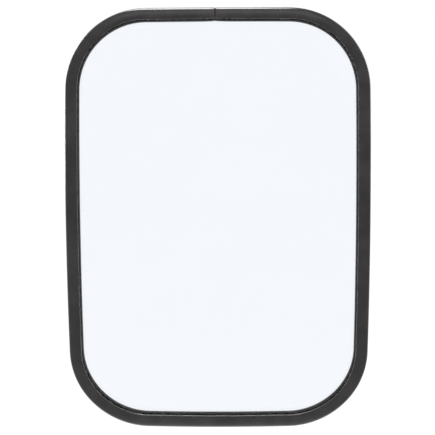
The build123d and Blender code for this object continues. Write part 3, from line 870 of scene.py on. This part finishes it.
def wing_nut(node):
    """Cast wing nut: a hub and two ears melted together, with a bored thread hole."""
    low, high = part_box(node)
    centre_x, span, top = (low.x + high.x) / 2, (high.x - low.x) / 2, high.y - low.y
    hub_r, hub_top_r, hub_h, half_t = 5.4 * MM, 4.4 * MM, 6.5 * MM, 1.25 * MM
    outline = wing_outline(span, top)
    count = len(outline)
    parts = [(*turned([(0, hub_r), (hub_h * 0.25, hub_r), (hub_h, hub_top_r)]), STILL)]
    for side in (1, -1):
        verts = [(side * x, y, z) for z in (-half_t, half_t) for x, y in outline]
        faces = [tuple(range(count)), tuple(range(count, 2 * count))[::-1]]
        faces += [(k, count + k, count + (k + 1) % count, (k + 1) % count) for k in range(count)]
        parts.append((verts, [face[::side] for face in faces], STILL))
    made = joined(node + "_cast", parts)
    melt_and_bore(made)
    mesh = made.data
    for v in mesh.vertices:
        v.co.y = min(top, max(0.0, v.co.y))
        v.co.x = min(span, max(-span, v.co.x))
    mesh.transform(Matrix.Translation((centre_x, low.y, 0)))
    mesh.polygons.foreach_set("use_smooth", [True] * len(mesh.polygons))
    mesh.set_sharp_from_angle(angle=radians(50))
    return made


for nut in ("wing_nut_left", "wing_nut_right"):
    finish_piece(wing_nut(nut), nut, "zinc_steel", ZINC_CAST, nut)


# ---------------------------------------------------------------- weld beads
def weld_bead(points, radius, closed=False, sides=12):
    """A weld bead along a line: a round bar with the overlapping ripples of the weld pool."""
    ripple, ripple_share, wave, wave_share = 1.15 * MM, 0.13, 2.3 * MM, 0.06
    end_share, end_growth = 0.35, 0.25
    count = len(points)
    verts, faces = [], []
    walked, aside = 0.0, None
    for k, here in enumerate(points):
        ahead = points[(k + 1) % count] if closed or k < count - 1 else here
        behind = points[k - 1] if closed or k else here
        along = (ahead - behind).normalized()
        if aside is None:
            aside = along.orthogonal().normalized()
        else:
            walked += (here - points[k - 1]).length
            aside = (aside - along * aside.dot(along)).normalized()
        other = along.cross(aside)
        swell = 1 + ripple_share * (1 - 2 * ((walked / ripple) % 1.0)) + wave_share * sin(walked / wave)
        end = 1.0 if closed else min(1.0, end_share + min(k, count - 1 - k) * end_growth)
        for j in range(sides):
            a = 2 * pi * j / sides
            verts.append(here + (aside * cos(a) + other * sin(a)) * radius * swell * end)
    for k in range(count if closed else count - 1):
        for j in range(sides):
            a, b = k * sides + j, k * sides + (j + 1) % sides
            n = (k + 1) % count * sides
            faces.append((a, b, n + (j + 1) % sides, n + j))
    if not closed:
        faces += [tuple(range(sides))[::-1], tuple(range((count - 1) * sides, count * sides))]
    return verts, faces, STILL


def walked_line(corners, step=0.25 * MM):
    """Points every step along a line of corners."""
    out = []
    for a, b in zip(corners, corners[1:]):
        count = max(1, ceil((b - a).length / step))
        out += [a.lerp(b, k / count) for k in range(count)]
    return out + [corners[-1]]


def lug_welds():
    """Fillet welds round the feet of both hinge lugs, on the wall plate."""
    low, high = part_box("hinge_lug_upper")
    plate_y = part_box("wall_plate")[0].y
    half_w, top, start_z = high.x, high.z, low.z + 5 * MM
    bend, bead_r = 1.6 * MM, 1.25 * MM
    mid_bend = bend * 0.3
    right = [(half_w, start_z), (half_w, top - bend), (half_w - mid_bend, top - mid_bend),
             (half_w - bend, top)]
    line = right + [(-x, z) for x, z in right[::-1]]
    parts = []
    for side in (1, -1):
        corners = [Vector((x, plate_y, side * z)) for x, z in line]
        parts.append(weld_bead(walked_line(corners), bead_r))
    return joined("lug_weld_beads", parts, 60)


def arm_welds():
    """Ring welds where the arm tube meets the barrel and the rear jaw's dish."""
    tube_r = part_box("arm_tube")[1].x
    barrel_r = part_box("arm_barrel")[1].x
    dish_r, steps = 13.6 * MM, 240
    widest = barrel_r * 0.97
    at_barrel, at_dish = [], []
    for k in range(steps):
        a = 2 * pi * k / steps
        x, z = tube_r * cos(a), tube_r * sin(a)
        at_barrel.append(Vector((x, PIVOT_Y - sqrt(barrel_r ** 2 - min(abs(x), widest) ** 2), z)))
        at_dish.append(Vector((x, BALL_Y + sqrt(dish_r ** 2 - tube_r ** 2), z)))
    beads = [weld_bead(at_barrel, 1.2 * MM, closed=True), weld_bead(at_dish, 1.3 * MM, closed=True)]
    return joined("arm_weld_beads", beads, 60)


finish_piece(lug_welds(), "wall_bracket", "bracket_paint", BRACKET_PAINT)
finish_piece(arm_welds(), "swing_arm", "bracket_paint", BRACKET_PAINT)


# ---------------------------------------------------------------- foam pads
def foam_pad(side):
    """One foam strip, pressed between the pan and the back of the mirror, its sides bulging."""
    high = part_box("foam_pads")[1]
    half_w, half_h, end_r = 9 * MM, high.z, 2.5 * MM
    around, along, squareness, waist, bulge = 40, 40, 0.35, 0.94, 0.06
    centre_x = side * (high.x - half_w)
    back_y = PAN_FLOOR_Y - PAN_T
    verts, faces = [], []
    for j in range(along + 1):
        z = half_h * sin(pi / 2 * (2 * j / along - 1))
        past = min(1.0, max(0.0, abs(z) - half_h + end_r) / end_r)
        shrink = (half_w - end_r * (1 - sqrt(1 - past ** 2))) / half_w
        for k in range(around):
            a = 2 * pi * k / around
            across = copysign(abs(cos(a)) ** squareness, cos(a))
            deep = copysign(abs(sin(a)) ** squareness, sin(a))
            x = centre_x + half_w * shrink * across * (waist + bulge * (1 - deep * deep))
            front_y = sphere_y(PAN_FRONT_R, x, z) + TOUCH
            verts.append((x, (back_y + front_y) / 2 + (back_y - front_y) / 2 * shrink * deep, z))
    for j in range(along):
        for k in range(around):
            a, b = j * around + k, j * around + (k + 1) % around
            faces.append((a + around, b + around, b, a))
    faces += [tuple(range(around)), tuple(range(along * around, (along + 1) * around))[::-1]]
    name = "foam_pad_right" if side > 0 else "foam_pad_left"
    return mesh_object(name, verts, faces, 50)


for side in (-1, 1):
    pad = finish_piece(foam_pad(side), "mirror_head", "foam", FOAM, "foam_pads")


# ---------------------------------------------------------------- carried-over CAD nodes
NODE_MATERIALS = {
    ZINC: ["reinforcing_plate", "weld_nut", "jam_nut", "stud_washer", "clamp_washers", "spring_washers",
           "pivot_washers", "pivot_locknut"],
    NYLON: ["seat_front", "seat_rear", "pivot_bush_upper", "pivot_bush_lower"],
    BRACKET_PAINT: ["rear_jaw", "front_jaw", "arm_barrel", "arm_tube", "wall_plate", "hinge_lug_upper",
                    "hinge_lug_lower"],
}
for material, nodes in NODE_MATERIALS.items():
    for node in nodes:
        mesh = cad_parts[node].data
        mesh.materials.clear()
        mesh.materials.append(material)


# ---------------------------------------------------------------- stage, light and camera
def stage():
    """A pale floor that glows softly like a light table, brightest under the mirror."""
    radius, sides, drop = 14.0, 96, 0.16
    glow_under, glow_around, glow_far, glow_behind = 4.5, 0.96, 0.02, 0.05
    mesh = bpy.data.meshes.new("floor")
    made = bpy.data.objects.new("floor", mesh)
    bpy.context.scene.collection.objects.link(made)
    bm = bmesh.new()
    bmesh.ops.create_circle(bm, cap_ends=True, segments=sides, radius=radius)
    bm.to_mesh(mesh)
    bm.free()
    made.location = (0, 0, cad_box[0].z - drop)
    n = Nodes("pale_floor")
    n.base((0.02, 0.02, 0.02))
    n.rough(0.9)
    n.set(Specular_IOR_Level=0.0, Emission_Color=(1.0, 1.0, 1.0, 1.0))
    away = n.new("ShaderNodeVectorMath", operation="LENGTH")
    n.link(n.coords.outputs["Object"], away.inputs[0])
    near = n.ramp(away.outputs["Value"], 0.12, 0.30, glow_under, glow_around)
    distant = n.ramp(away.outputs["Value"], 0.6, 2.0, 0.0, glow_far)
    behind = n.ramp(n.split("Object", "Y"), -0.10, 0.15, 0.0, glow_behind)
    n.link(n.math("ADD", near, n.math("ADD", distant, behind)), n.shader.inputs["Emission Strength"])
    mesh.materials.append(n.material)


def softbox(name, place, target, size, watts):
    """A rectangular area light that faces target."""
    data = bpy.data.lights.new(name, "AREA")
    data.shape = "RECTANGLE"
    data.size, data.size_y = size
    data.energy = watts
    lamp = bpy.data.objects.new(name, data)
    lamp.location = place
    lamp.rotation_euler = (Vector(target) - Vector(place)).to_track_quat("-Z", "Y").to_euler()
    bpy.context.scene.collection.objects.link(lamp)


def studio_walls():
    """White all round, and darker overhead."""
    wall_top, ceiling, ceiling_strength = radians(50), radians(66), 0.30
    world = bpy.data.worlds.new("studio")
    bpy.context.scene.world = world
    world.use_nodes = True
    tree = world.node_tree
    back = tree.nodes["Background"]
    coords = tree.nodes.new("ShaderNodeTexCoord")
    split = tree.nodes.new("ShaderNodeSeparateXYZ")
    tree.links.new(coords.outputs["Generated"], split.inputs[0])
    fall = tree.nodes.new("ShaderNodeMapRange")
    fall.interpolation_type = "SMOOTHSTEP"
    tree.links.new(split.outputs["Z"], fall.inputs["Value"])
    fall.inputs["From Min"].default_value = sin(wall_top)
    fall.inputs["From Max"].default_value = sin(ceiling)
    fall.inputs["To Min"].default_value = 1.0
    fall.inputs["To Max"].default_value = ceiling_strength
    back.inputs["Color"].default_value = (1.0, 1.0, 1.0, 1.0)
    tree.links.new(fall.outputs["Result"], back.inputs["Strength"])


def lights():
    """Softboxes overhead, high in front, and behind on both sides."""
    middle = (0, -0.08, 0)
    softbox("overhead", (-0.1, -0.1, 1.3), middle, size=(1.0, 0.6), watts=34)
    softbox("front_high", (0.0, -1.2, 1.0), middle, size=(1.2, 0.2), watts=1.2)
    softbox("left_rear", (-1.15, 0.75, 0.45), middle, size=(0.35, 1.0), watts=22)
    softbox("right_rear", (1.2, 0.8, 0.35), middle, size=(0.25, 1.0), watts=4)


def camera():
    """The photograph's view: three head widths away, a little above and to the right."""
    distance, up, right, roll = 3.0 * HEAD_W, radians(5.75), radians(0.62), radians(-0.227)
    data = bpy.data.cameras.new("camera")
    data.sensor_width = 36.0
    data.lens = 76.69
    data.clip_start = 0.01
    data.clip_end = 60
    cam = bpy.data.objects.new("camera", data)
    bpy.context.scene.collection.objects.link(cam)
    bpy.context.scene.camera = cam
    apex = Vector((0, APEX_Y, 0))
    aim = apex + Vector((-0.14 * MM, 0, 4.06 * MM))
    cam.location = apex + distance * Vector((sin(right) * cos(up), -cos(right) * cos(up), sin(up)))
    look = (aim - cam.location).to_track_quat("-Z", "Y")
    cam.rotation_mode = "QUATERNION"
    cam.rotation_quaternion = look @ Matrix.Rotation(roll, 4, "Z").to_quaternion()


stage()
studio_walls()
lights()
camera()
bpy.context.scene.view_settings.view_transform = "Standard"
